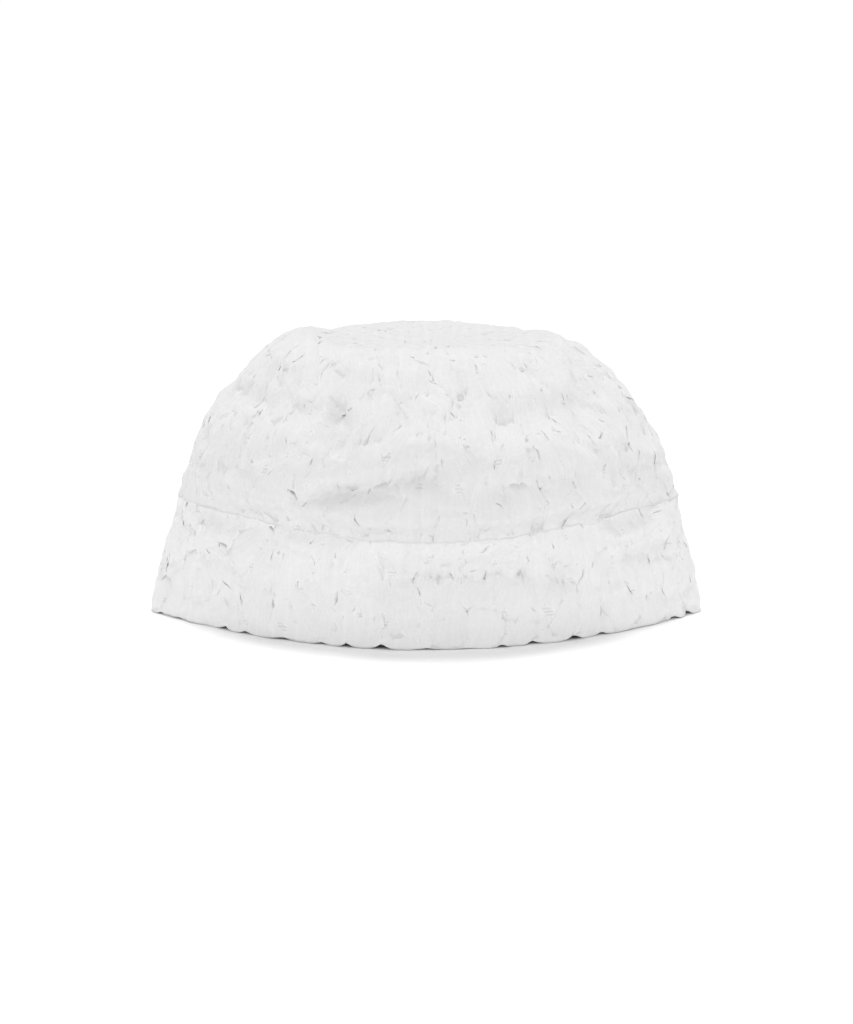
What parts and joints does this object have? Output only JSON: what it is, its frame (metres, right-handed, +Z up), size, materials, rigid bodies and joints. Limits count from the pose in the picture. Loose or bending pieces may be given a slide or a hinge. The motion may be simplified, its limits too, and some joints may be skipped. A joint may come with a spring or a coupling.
{
  "type": "lace beanie",
  "caption": "Soft white lace beanie for a baby: a slouched dome crown over a doubled band, covered in rounded petals, standing on its open rim.",
  "frame": {"origin": "on the ground, under the middle of the hat as it stands on its rim", "axes": "+Z up through the crown, -Y the front, +X to the right of someone looking at the front"},
  "size_m": [0.1717, 0.122, 0.0882],
  "materials": {
    "crown_lace": "matte petal lace on net",
    "band_lace": "matte petal lace on net, doubled"
  },
  "bodies": {
    "root": {"crown": "crown_lace", "band": "band_lace"}
  },
  "joints": []
}
